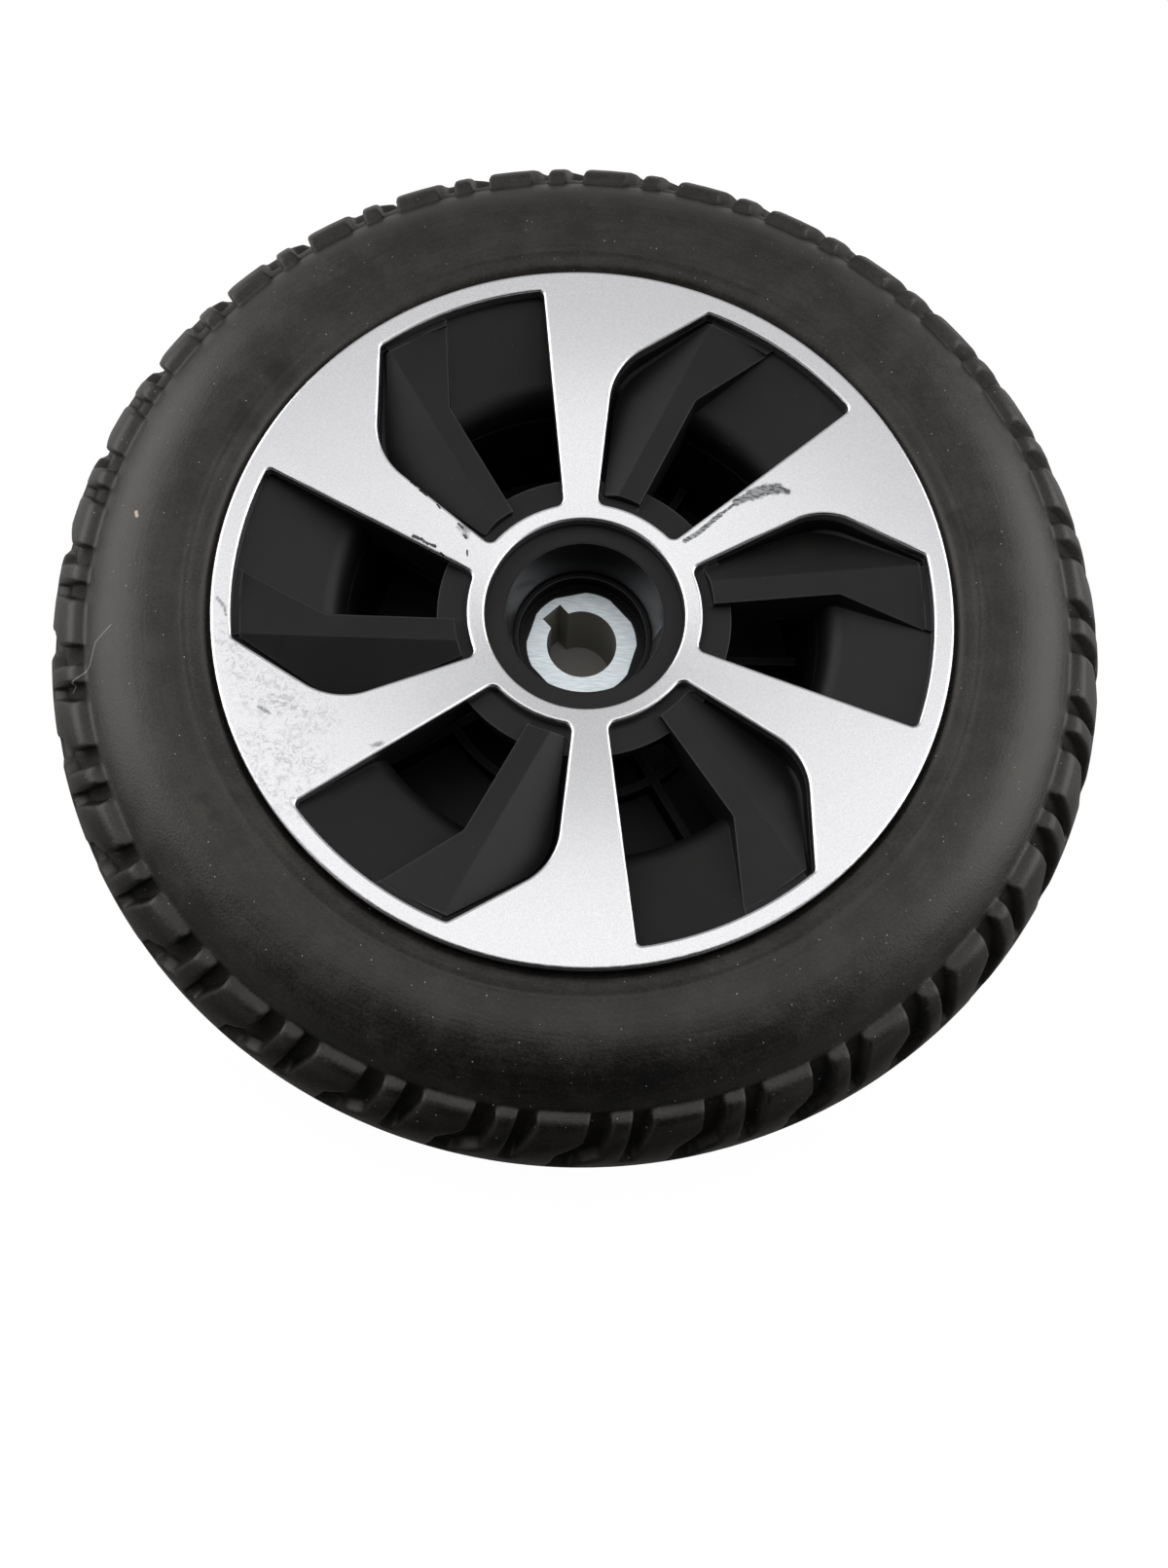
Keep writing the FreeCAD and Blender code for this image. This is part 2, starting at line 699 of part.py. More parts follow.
def build_tyre():
    return build_tyre_carcass().fuse(build_tread()).removeSplitter()


def build_flat_free_insert():
    """Foam ring that fills the tyre down to the rim's well."""
    bead = bead_points()
    knee, shelf = bead["knee"], bead["shelf"]
    radius = hollow_radius - foam_clearance
    side = rim_side(1)
    seat_end, well = side[4], side[5]
    foot_knee = (knee[0] + foam_clearance, knee[1] - foam_clearance)
    foot_shelf = (shelf[0], shelf[1] - foam_clearance)
    foot_seat = (seat_end[0] + foam_clearance, shelf[1] - foam_clearance)
    foot_end = (seat_end[0] + foam_clearance, seat_end[1] - foam_clearance)
    foot_well = (well[0] + foam_clearance, well[1] - foam_clearance)
    half = [section_arc(hollow_centre_radius, radius, 0.0, 90.0),
            section_line((hollow_centre_radius, middle + radius), foot_knee),
            section_line(foot_knee, foot_shelf),
            section_line(foot_shelf, foot_seat),
            section_line(foot_seat, foot_end),
            section_line(foot_end, foot_well),
            section_line(foot_well, (foot_well[0], middle))]
    return Part.Face(mirrored_section(half)).revolve(axle, up, 360)


def export(name, shape):
    shape.exportStep("parts/" + name + ".step")
    print(name, len(shape.Solids), "solids", round(shape.Volume / 1000, 2), "cm3", shape.isValid())


os.makedirs("parts", exist_ok=True)
export("face_plate", build_face_plate())
export("hub_insert", build_hub_insert())
export("rim_front", build_rim_front())
export("rim_rear", build_rim_rear())
export("rim_bolts", Part.makeCompound(around(build_rim_bolt(), window_count)))
export("rim_washers", Part.makeCompound(around(build_rim_washer(), window_count)))
export("threaded_inserts", Part.makeCompound(around(build_threaded_insert(), window_count)))
export("plate_screws", Part.makeCompound(around(build_plate_screw(), window_count)))
export("flat_free_insert", build_flat_free_insert())
export("tyre", build_tyre())
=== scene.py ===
import bpy
import numpy as np
from mathutils import Matrix, Vector


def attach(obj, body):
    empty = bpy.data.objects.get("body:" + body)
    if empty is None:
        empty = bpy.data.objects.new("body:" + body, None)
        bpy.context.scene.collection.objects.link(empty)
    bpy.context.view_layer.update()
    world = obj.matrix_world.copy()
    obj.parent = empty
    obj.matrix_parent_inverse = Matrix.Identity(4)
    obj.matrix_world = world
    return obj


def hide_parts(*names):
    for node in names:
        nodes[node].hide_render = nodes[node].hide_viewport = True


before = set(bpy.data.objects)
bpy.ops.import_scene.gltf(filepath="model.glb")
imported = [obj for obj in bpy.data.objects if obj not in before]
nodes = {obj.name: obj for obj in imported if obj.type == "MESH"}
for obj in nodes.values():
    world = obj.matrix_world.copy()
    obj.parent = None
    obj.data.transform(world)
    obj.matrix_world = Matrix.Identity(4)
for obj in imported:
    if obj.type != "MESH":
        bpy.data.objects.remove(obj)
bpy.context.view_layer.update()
scene = bpy.context.scene
scene.view_settings.view_transform = "Standard"
mm = 0.001
print("frame:", sorted(nodes))


# sRGB hex to the linear colour that sockets take
def hexColor(code):
    srgb = np.array([int(code[i:i + 2], 16) for i in (1, 3, 5)]) / 255
    linear = np.where(srgb <= 0.04045, srgb / 12.92, ((srgb + 0.055) / 1.055) ** 2.4)
    return (*linear.tolist(), 1.0)


# adds one node: links maps a socket to another node's output or to a plain value
def addNode(tree, kind, links=None, **settings):
    node = tree.nodes.new(kind)
    for name, value in settings.items():
        setattr(node, name, value)
    for socket, source in (links or {}).items():
        if isinstance(source, bpy.types.NodeSocket):
            tree.links.new(source, node.inputs[socket])
        else:
            node.inputs[socket].default_value = source
    return node


# empty material with its shader, output and Object coordinates
def newMaterial(name, shaderValues=None):
    material = bpy.data.materials.new(name)
    material.use_nodes = True
    tree = material.node_tree
    tree.nodes.clear()
    shader = addNode(tree, "ShaderNodeBsdfPrincipled", shaderValues)
    addNode(tree, "ShaderNodeOutputMaterial", {"Surface": shader.outputs[0]})
    coords = addNode(tree, "ShaderNodeTexCoord").outputs["Object"]
    return material, tree, shader, coords


# tyre: section in millimetres as (radius, distance from the middle plane), turns in degrees
tyreShape = {
    "middle": 38.0,                                   # height of the middle plane
    "wallCentre": (99.0, 2.0), "wallRadius": 21.8,    # round of the sidewall
    "topCentre": 104.9, "topRadius": 22.1, "topEnd": 57.0,            # round over the block tops
    "floorCentre": 103.13, "floorRadius": 20.87, "floorEnd": 58.6,    # round that the grooves bottom on
    "floorShare": (0.965, 0.967),                     # share under the top round, and at the first edge row
    "foot": 114.0, "footGap": 0.5,                    # radius where the block faces meet the sidewall
    "edgeRound": 1.4, "cornerRound": 2.8,             # rounds of the blocks, in section and in plan
    "cornerRows": 3,                                  # crown rows that have a share in the round in plan
    "ringRadius": 90.8, "ringHeight": 0.45, "ringWidth": 0.9,         # moulded ring on the sidewall
    "lipStart": 91.2, "lipTop": 87.0, "lipEdge": 85.6, "lipHeight": 0.8,    # bead lip that rises to the plate
    "hollowCentre": 100.2, "hollowRadius": 18.8, "hollowRows": 6,     # round of the hollow
    "pitches": 30, "start": 0.8,                      # repeats of the tread, and turn of the first
    "gullyRamp": (3.2, 6.2), "slotRamp": (8.4, 11.2),     # where the grooves run out towards the crown
    "grooveRadius": 118.0,                            # radius at which groove widths are turned into degrees
    "shadeDepth": 1.5,                                 # depth from which a groove gets its full painted shade
    # groove walls as (offset from the edge into the groove, share of the block's height)
    "grooveWall": ((-1.2, 1.0), (-0.5, 0.94), (-0.1, 0.74), (0.18, 0.14), (0.6, 0.0)),
    # groove edges of one pitch as (distances from the middle plane, turns)
    "gullyLow": ((4.0, 8.7, 11.6, 15.3, 23.0), (-4.8, -4.1, -3.8, -1.1, 0.2)),
    "gullyHigh": ((4.0, 8.2, 10.6, 17.0, 23.0), (-2.6, -1.4, 0.4, 1.4, 2.6)),
    "slotLow": ((9.2, 16.7, 23.0), (-9.5, -8.4, -7.4)),
    "slotHigh": ((9.2, 13.9, 18.4, 23.0), (-8.2, -7.3, -6.0, -4.2)),
    # rows: distances on the crown, shares along edge and face, radii on the sidewall, points of the bead
    "crownRows": (0.0, 1.2, 2.4, 3.2, 3.8, 4.4, 5.0, 5.6, 6.2, 7.2, 8.0, 8.6, 9.2, 9.8, 10.5, 11.2, 12.2,
                  13.3, 14.4, 15.4, 16.2, 16.8, 17.3, 17.7),
    "edgeRows": (0.25, 0.5, 0.75), "faceRows": (0.0, 0.35, 0.7, 1.0),
    "wallRows": (113.5, 112.6, 111.4, 110.0, 108.4, 106.6, 104.6, 102.4, 100.0, 97.6, 95.4, 93.6, 92.5, 91.8,
                 91.3, 90.8, 90.3, 89.8, 89.1, 88.0, 87.0, 86.3, 85.7, 84.9),
    "bead": ((84.9, 16.97), (79.8, 13.97), (77.3, 11.47), (77.3, 6.67), (79.8, 6.67), (84.9, 12.27)),
}


# quads between the rows and columns of a grid, closed round both ways
def wrapQuads(rows, columns):
    row, column = np.meshgrid(np.arange(rows), np.arange(columns), indexing="ij")
    nextRow, nextColumn = (row + 1) % rows, (column + 1) % columns
    corners = (row * columns + column, row * columns + nextColumn,
               nextRow * columns + nextColumn, nextRow * columns + column)
    return np.stack(corners, -1).reshape(-1, 4)


# object from grids of radius, turn and height, with a value at each point for every attribute
def ringObject(name, radius, turn, height, attributes):
    points = np.stack((radius * np.cos(turn), radius * np.sin(turn), height), -1) * mm
    mesh = bpy.data.meshes.new(name)
    mesh.from_pydata(points.reshape(-1, 3), [], wrapQuads(*radius.shape))
    mesh.polygons.foreach_set("use_smooth", np.ones(len(mesh.polygons), bool))
    for key, values in attributes.items():
        layer = mesh.attributes.new(key, "FLOAT", "POINT")
        layer.data.foreach_set("value", values.astype(np.float32).ravel())
    mesh.update()
    piece = bpy.data.objects.new(name, mesh)
    scene.collection.objects.link(piece)
    return piece


# eased step: 3 t^2 - 2 t^3 between low and high
def smooth(low, high, x):
    t = np.clip((x - low) / (high - low), 0, 1)
    return t * t * (3 - 2 * t)


# section rows of the front half, from the crown round the bead to the middle of the hollow: each has a point
# on the blocks, the point on the groove floor under it, and the distance that sets the groove edges
def sectionRows():
    shape = tyreShape

    # sidewall: z = z0 + sqrt(R^2 - (r - r0)^2)
    def wallHeight(r):
        return shape["wallCentre"][1] + np.sqrt(shape["wallRadius"] ** 2 - (r - shape["wallCentre"][0]) ** 2)

    crownZ = np.array(shape["crownRows"])
    crown = np.stack((shape["topCentre"] + np.sqrt(shape["topRadius"] ** 2 - crownZ ** 2), crownZ), 1)
    angle = np.radians(shape["topEnd"])
    corner = np.array((shape["topCentre"] + shape["topRadius"] * np.cos(angle),
                       shape["topRadius"] * np.sin(angle)))
    foot = np.array((shape["foot"], wallHeight(shape["foot"])))
    along = (foot - corner) / np.linalg.norm(foot - corner)
    faceStart, faceEnd = corner + along * shape["edgeRound"], foot - along * shape["footGap"]
    # block edge: a curve from the crown to the face, drawn towards the sharp corner
    t = np.array(shape["edgeRows"])[:, None]
    rounding = (1 - t) ** 2 * crown[-1] + 2 * t * (1 - t) * corner + t ** 2 * faceStart
    face = faceStart + (faceEnd - faceStart) * np.array(shape["faceRows"])[:, None]
    wallR = np.array(shape["wallRows"])
    ring = shape["ringHeight"] * np.exp(-((wallR - shape["ringRadius"]) / shape["ringWidth"]) ** 2)
    rise = np.clip((shape["lipStart"] - wallR) / (shape["lipStart"] - shape["lipTop"]), 0, 1)
    lip = shape["lipHeight"] * rise * smooth(shape["lipEdge"], shape["lipTop"], wallR)
    wall = np.stack((wallR, wallHeight(wallR) + ring + lip), 1)
    valley = (0.25 * faceEnd + 0.5 * foot + 0.25 * wall[0])[None]     # the foot, eased to the rows beside it
    inner = np.radians(np.linspace(90, 0, shape["hollowRows"]))
    hollow = np.stack((shape["hollowCentre"] + shape["hollowRadius"] * np.cos(inner),
                       shape["hollowRadius"] * np.sin(inner)), 1)
    block = np.concatenate((crown, rounding, face, valley, wall, np.array(shape["bead"]), hollow))
    top = len(crown) + len(rounding) + len(face) + len(valley)
    # groove floor under these top rows, spread over its own round
    crownShare, edgeShare = shape["floorShare"]
    share = np.concatenate((np.degrees(np.arcsin(crownZ / shape["topRadius"])) / shape["topEnd"] * crownShare,
                            np.linspace(edgeShare, 1.0, top - len(crown))))
    floorAngle = np.radians(share * shape["floorEnd"])
    floor = block.copy()
    floor[:top, 0] = shape["floorCentre"] + shape["floorRadius"] * np.cos(floorAngle)
    floor[:top, 1] = shape["floorRadius"] * np.sin(floorAngle)
    floor[top - 1] = valley[0]
    edgeZ = block[:, 1].copy()
    edgeZ[top:] = foot[1]
    edgeZ[-len(hollow):] = foot[1] * np.sin(inner)
    # only the rows at the shoulder come near enough to the foot to be rounded in plan
    fromFoot = np.full(len(block), shape["cornerRound"])
    shoulderRows = slice(len(crown) - shape["cornerRows"], top)
    fromFoot[shoulderRows] = np.linalg.norm(block[shoulderRows] - foot, axis=1)
    onWall = np.zeros(len(block))
    onWall[top - 1:top + len(wallR)] = 1
    return block, floor, edgeZ, fromFoot, onWall


# adds the rear half: the front rows once more, backwards, without the two that lie on the middle plane
def mirrored(front, sign):
    return np.concatenate((front, front[1:-1][::-1] * sign))


# one closed ring: columns follow the groove edges, and point = floor + (block - floor) * mask
def makeTyre():
    shape = tyreShape
    pitch = 360 / shape["pitches"]
    perMm = np.degrees(1 / shape["grooveRadius"])
    block, floor, edgeZ, fromFoot, onWall = sectionRows()
    flip = np.array((1, -1))
    block, floor = mirrored(block, flip), mirrored(floor, flip)
    z, fromFoot, onWall = mirrored(edgeZ, -1), mirrored(fromFoot, 1), mirrored(onWall, 1)
    gullyDepth, slotDepth = smooth(*shape["gullyRamp"], np.abs(z)), smooth(*shape["slotRamp"], np.abs(z))
    # round in plan of the blocks' trailing shoulder corners: offset = R - sqrt(R^2 - (R - distance)^2)
    reach = np.clip(shape["cornerRound"] - fromFoot, 0, shape["cornerRound"])
    corner = (shape["cornerRound"] - np.sqrt(shape["cornerRound"] ** 2 - reach ** 2)) * perMm

    # turn of a groove edge in each row: the rear half is the front one turned over, half a pitch further on
    def edge(low, high, shift):
        frontZ, frontTurn = (np.array(v) for v in shape[low])
        backZ, backTurn = (np.array(v) for v in shape[high])
        knots = np.concatenate((-backZ[::-1], frontZ))
        return np.interp(z, knots, np.concatenate((-pitch / 2 - backTurn[::-1], frontTurn + shift)))

    gullyLow, gullyHigh = edge("gullyLow", "gullyHigh", 0), edge("gullyHigh", "gullyLow", 0)
    slotLow, slotHigh = edge("slotLow", "slotHigh", pitch), edge("slotHigh", "slotLow", pitch)
    frontCorner, rearCorner = np.where(z > 0, corner, 0), np.where(z < 0, corner, 0)
    gullyHigh, slotHigh = gullyHigh + frontCorner, slotHigh + frontCorner
    gullyLow, slotLow = gullyLow - rearCorner, slotLow - rearCorner
    grooves = ((gullyLow, gullyHigh, gullyDepth, slotLow), (slotLow, slotHigh, slotDepth, gullyLow + pitch))
    # columns of each groove: down one wall, along the middle, up the other wall, and one on the next block
    turns, masks = [], []
    for low, high, depth, nextLow in grooves:
        for offset, mask in shape["grooveWall"]:
            turns.append(low + offset * perMm)
            masks.append(1 - depth * (1 - mask))
        turns.append((low + high) / 2)
        masks.append(1 - depth)
        for offset, mask in shape["grooveWall"][::-1]:
            turns.append(high - offset * perMm)
            masks.append(1 - depth * (1 - mask))
        turns.append((high + nextLow) / 2)
        masks.append(np.ones_like(z))
    turns, masks = np.stack(turns, 1), np.stack(masks, 1)
    around = np.arange(shape["pitches"]) * pitch + shape["start"]
    turn = (around[None, :, None] + turns[:, None, :]).reshape(len(z), -1)
    mask = np.tile(masks, (1, shape["pitches"]))
    section = floor[:, None] + (block - floor)[:, None] * mask[..., None]
    wall = np.repeat(onWall[:, None], turn.shape[1], 1)
    # grooves only count where the blocks stand over their floor
    deep = np.clip(np.linalg.norm(block - floor, axis=1) / shape["shadeDepth"], 0, 1)
    return ringObject("tyre_ring", section[..., 0], np.radians(turn), section[..., 1] + shape["middle"],
                      {"groove": (1 - mask) * deep[:, None], "wall": wall})


# turns the faces outwards where the signed volume says that they point in
def outwards(piece):
    mesh = piece.data
    flat = np.empty(len(mesh.vertices) * 3, np.float32)
    mesh.vertices.foreach_get("co", flat)
    points = flat.reshape(-1, 3).astype(float)
    index = np.empty(len(mesh.polygons) * 4, np.int32)
    mesh.polygons.foreach_get("vertices", index)
    a, b, c, d = (points[index.reshape(-1, 4)[:, k]] for k in range(4))       # corners of each quad
    volume = ((np.cross(a, b) * c).sum() + (np.cross(a, c) * d).sum()) / 6
    if volume < 0:
        mesh.flip_normals()
    print(piece.name, "triangles:", len(mesh.polygons) * 2, "volume mm3:", round(abs(volume) / mm ** 3))


tyrePiece = makeTyre()
outwards(tyrePiece)
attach(tyrePiece, "root")
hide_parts("tyre")
print("tyre made")


# share of dust: in some cells a round dot of random size, drawn larger than real dust so that it shows
def dustShare(tree, coords, cell, rarity, largest, strength):
    softness = 0.04                                   # of the dots' edges, in cells
    cells = addNode(tree, "ShaderNodeTexVoronoi", {"Vector": coords, "Scale": 1 / (cell * mm)})
    pick = addNode(tree, "ShaderNodeSeparateColor", {0: cells.outputs["Color"]})
    size = addNode(tree, "ShaderNodeMapRange", {"Value": pick.outputs[0], "From Min": rarity,
                                                "To Max": largest / cell})
    dot = addNode(tree, "ShaderNodeMath", {0: size.outputs[0], 1: cells.outputs["Distance"]},
                  operation="SUBTRACT")
    return addNode(tree, "ShaderNodeMapRange", {"Value": dot.outputs[0], "From Max": softness,
                                                "To Max": strength}).outputs[0]


# share of wear: nearness to any of the strokes (x, y, x, y, half width in mm), broken up by noise
def strokeShare(tree, plan, ragged, strokes, softness, breakUp):
    outer = 1 + breakUp * 0.5                         # in half widths: noise adds half of breakUp on average
    share = 0.0
    for x1, y1, x2, y2, width in strokes:
        start, run = Vector((x1, y1, 0)) * mm, Vector((x2 - x1, y2 - y1, 0)) * mm
        away = addNode(tree, "ShaderNodeVectorMath", {0: plan, 1: start}, operation="SUBTRACT").outputs[0]
        along = addNode(tree, "ShaderNodeVectorMath", {0: away, 1: run / run.length_squared},
                        operation="DOT_PRODUCT")
        held = addNode(tree, "ShaderNodeClamp", {0: along.outputs["Value"]})
        nearest = addNode(tree, "ShaderNodeVectorMath", {0: run, "Scale": held.outputs[0]}, operation="SCALE")
        gap = addNode(tree, "ShaderNodeVectorMath", {0: away, 1: nearest.outputs[0]}, operation="DISTANCE")
        noisy = addNode(tree, "ShaderNodeMath", {0: ragged, 1: breakUp * width * mm, 2: gap.outputs["Value"]},
                        operation="MULTIPLY_ADD")
        stroke = addNode(tree, "ShaderNodeMapRange", {"Value": noisy.outputs[0],
                                                      "From Min": width * outer * mm,
                                                      "From Max": width * (outer - softness) * mm})
        share = addNode(tree, "ShaderNodeMath", {0: share, 1: stroke.outputs[0]},
                        operation="MAXIMUM").outputs[0]
    return share


# share of lint: in some cells a short bent thread through the cell's point, turned at random
def lintShare(tree, coords, look):
    bent = addNode(tree, "ShaderNodeTexNoise", {"Vector": coords, "Scale": 1 / (look["lintBend"] * mm),
                                                "Detail": 1.0})
    bend = addNode(tree, "ShaderNodeVectorMath", {0: bent.outputs["Color"], 1: (0.5, 0.5, 0.5)},
                   operation="SUBTRACT")
    sway = addNode(tree, "ShaderNodeVectorMath", {0: bend.outputs[0], "Scale": look["lintSway"] * mm},
                   operation="SCALE")
    swayed = addNode(tree, "ShaderNodeVectorMath", {0: coords, 1: sway.outputs[0]},
                     operation="ADD").outputs[0]
    cells = addNode(tree, "ShaderNodeTexVoronoi", {"Vector": swayed, "Scale": 1 / (look["lintCell"] * mm)},
                    voronoi_dimensions="2D")
    pick = addNode(tree, "ShaderNodeSeparateColor", {0: cells.outputs["Color"]})
    centre = addNode(tree, "ShaderNodeVectorMath", {0: cells.outputs["Position"],
                                                    "Scale": look["lintCell"] * mm}, operation="SCALE")
    away = addNode(tree, "ShaderNodeVectorMath", {0: swayed, 1: centre.outputs[0]}, operation="SUBTRACT")
    spin = addNode(tree, "ShaderNodeMath", {0: pick.outputs[0], 1: 2 * np.pi}, operation="MULTIPLY")
    turned = addNode(tree, "ShaderNodeVectorRotate", {"Vector": away.outputs[0], "Angle": spin.outputs[0]},
                     rotation_type="Z_AXIS")
    local = addNode(tree, "ShaderNodeSeparateXYZ", {0: turned.outputs[0]})
    length = addNode(tree, "ShaderNodeMath", {0: local.outputs[0]}, operation="ABSOLUTE")
    width = addNode(tree, "ShaderNodeMath", {0: local.outputs[1]}, operation="ABSOLUTE")
    inLength = addNode(tree, "ShaderNodeMapRange", {"Value": length.outputs[0],
                                                    "From Min": look["lintLength"] * mm,
                                                    "From Max": look["lintLength"] * look["lintEnds"] * mm})
    inWidth = addNode(tree, "ShaderNodeMapRange", {"Value": width.outputs[0],
                                                   "From Min": look["lintWidth"] * mm,
                                                   "From Max": look["lintWidth"] * look["lintCore"] * mm})
    thread = addNode(tree, "ShaderNodeMath", {0: inLength.outputs[0], 1: inWidth.outputs[0]},
                     operation="MULTIPLY")
    chosen = addNode(tree, "ShaderNodeMath", {0: pick.outputs[1], 1: look["lintRarity"]},
                     operation="GREATER_THAN")
    return addNode(tree, "ShaderNodeMath", {0: thread.outputs[0], 1: chosen.outputs[0]},
                   operation="MULTIPLY").outputs[0]


# carbon-black tyre rubber from a fine-blasted mould: warm near black with a dull mottled sheen and faint flow
# rings, stained in places, with dust, short lint, one long hair and a pale fleck
def tyreRubber():
    look = {
        "black": "#0a0909", "film": "#1c1814", "stain": "#0d0906", "dust": "#aca79e", "lint": "#8e8b85",
        "fleck": "#b3a294", "tint": "#fffbf5",
        "cloud": 9.0,                                 # sizes of patterns in mm
        "flow": 0.8, "flowLength": 14.0, "flowRadius": 100.0,         # rings across and along, at this radius
        "grain": 0.6,                                 # drawn coarser than the mould's grain so that it shows
        "flowShare": 0.3, "grainShare": 0.6,          # what rings and grain add to the clouds of the mottle
        "filmRange": (0.55, 0.95), "filmMost": 0.7,
        "sheenRange": (0.5, 0.9), "roughness": (0.35, 0.49), "specular": (0.33, 0.47),
        "stainSpecular": 0.25, "grooveShadeSpecular": 0.08,
        "dustDots": (1.3, 0.58, 0.17, 0.75),          # cell, rarity, largest radius, strength
        "lintCell": 8.0, "lintRarity": 0.62, "lintMost": 0.75,
        "lintLength": 1.3, "lintWidth": 0.09,         # half sizes of a thread
        "lintEnds": 0.7, "lintCore": 0.3,             # shares of them from which the thread is full
        "lintBend": 4.0, "lintSway": 2.2,
        "edge": 0.7,                                  # round that the shading gives to block edges
        "flowBump": (0.3, 0.12), "grainBump": (0.6, 0.1),             # strength, and height in mm
        "stainEdge": (1.2, 4.0), "hairEdge": (0.9, 0.6), "fleckEdge": (0.5, 1.4),     # softness and break-up
        "stains": ((-77.6, 46.6, -83.6, 34.2, 4.0), (-83.6, 34.2, -86.8, 27.3, 3.0),
                   (84.0, 30.0, 88.0, 20.0, 3.0), (-77.0, -57.0, -74.0, -60.5, 2.4)),
        "hair": ((-104.6, -20.3, -108.1, -24.1, 0.22), (-108.1, -24.1, -108.9, -29.4, 0.22),
                 (-108.9, -29.4, -113.5, -34.5, 0.22)),
        "flecks": ((-104.1, 7.0, -103.7, 6.0, 0.55),),
    }
    material, tree, shader, coords = newMaterial("vulcanised tyre rubber",
                                                 {"Specular Tint": hexColor(look["tint"])})
    wall = addNode(tree, "ShaderNodeAttribute", attribute_name="wall").outputs["Fac"]
    plan = addNode(tree, "ShaderNodeVectorMath", {0: coords, 1: (1, 1, 0)}, operation="MULTIPLY").outputs[0]
    cloud = addNode(tree, "ShaderNodeTexNoise", {"Vector": coords, "Scale": 1 / (look["cloud"] * mm),
                                                 "Detail": 8.0, "Roughness": 0.66}).outputs["Fac"]
    # flow rings: noise over (x / r, y / r, r), so that it runs long round the axle and short across it
    radius = addNode(tree, "ShaderNodeVectorMath", {0: plan}, operation="LENGTH")
    outward = addNode(tree, "ShaderNodeVectorMath", {0: plan}, operation="NORMALIZE")
    along = addNode(tree, "ShaderNodeVectorMath", {0: outward.outputs[0],
                                                   "Scale": look["flowRadius"] / look["flowLength"]},
                    operation="SCALE")
    across = addNode(tree, "ShaderNodeMath", {0: radius.outputs["Value"], 1: 1 / (look["flow"] * mm)},
                     operation="MULTIPLY")
    rise = addNode(tree, "ShaderNodeCombineXYZ", {2: across.outputs[0]})
    rings = addNode(tree, "ShaderNodeVectorMath", {0: along.outputs[0], 1: rise.outputs[0]}, operation="ADD")
    flow = addNode(tree, "ShaderNodeTexNoise", {"Vector": rings.outputs[0], "Scale": 1.0,
                                                "Detail": 3.0}).outputs["Fac"]
    grain = addNode(tree, "ShaderNodeTexNoise", {"Vector": coords, "Scale": 1 / (look["grain"] * mm),
                                                 "Detail": 3.0}).outputs["Fac"]
    # mottle = clouds + rings + grain, with the grain's mean taken off again
    ringed = addNode(tree, "ShaderNodeMath", {0: flow, 1: look["flowShare"], 2: cloud},
                     operation="MULTIPLY_ADD")
    pebbled = addNode(tree, "ShaderNodeMath", {0: grain, 1: look["grainShare"], 2: ringed.outputs[0]},
                      operation="MULTIPLY_ADD")
    mottle = addNode(tree, "ShaderNodeMath", {0: pebbled.outputs[0], 1: look["grainShare"] / 2},
                     operation="SUBTRACT").outputs[0]
    film = addNode(tree, "ShaderNodeMapRange", {"Value": mottle, "From Min": look["filmRange"][0],
                                                "From Max": look["filmRange"][1], "To Max": look["filmMost"]})
    base = addNode(tree, "ShaderNodeMix", {0: film.outputs[0], 6: hexColor(look["black"]),
                                           7: hexColor(look["film"])}, data_type="RGBA")
    stain = strokeShare(tree, plan, cloud, look["stains"], *look["stainEdge"])
    stained = addNode(tree, "ShaderNodeMix", {0: stain, 6: base.outputs[2], 7: hexColor(look["stain"])},
                      data_type="RGBA")
    dust = dustShare(tree, coords, *look["dustDots"])
    dusty = addNode(tree, "ShaderNodeMix", {0: dust, 6: stained.outputs[2], 7: hexColor(look["dust"])},
                    data_type="RGBA")
    lint = addNode(tree, "ShaderNodeMath", {0: lintShare(tree, coords, look), 1: wall}, operation="MULTIPLY")
    hair = strokeShare(tree, plan, cloud, look["hair"], *look["hairEdge"])
    threads = addNode(tree, "ShaderNodeMath", {0: lint.outputs[0], 1: hair}, operation="MAXIMUM")
    fluff = addNode(tree, "ShaderNodeMath", {0: threads.outputs[0], 1: look["lintMost"]},
                    operation="MULTIPLY")
    linty = addNode(tree, "ShaderNodeMix", {0: fluff.outputs[0], 6: dusty.outputs[2],
                                            7: hexColor(look["lint"])}, data_type="RGBA")
    fleck = strokeShare(tree, plan, cloud, look["flecks"], *look["fleckEdge"])
    color = addNode(tree, "ShaderNodeMix", {0: fleck, 6: linty.outputs[2], 7: hexColor(look["fleck"])},
                    data_type="RGBA")
    tree.links.new(color.outputs[2], shader.inputs["Base Color"])
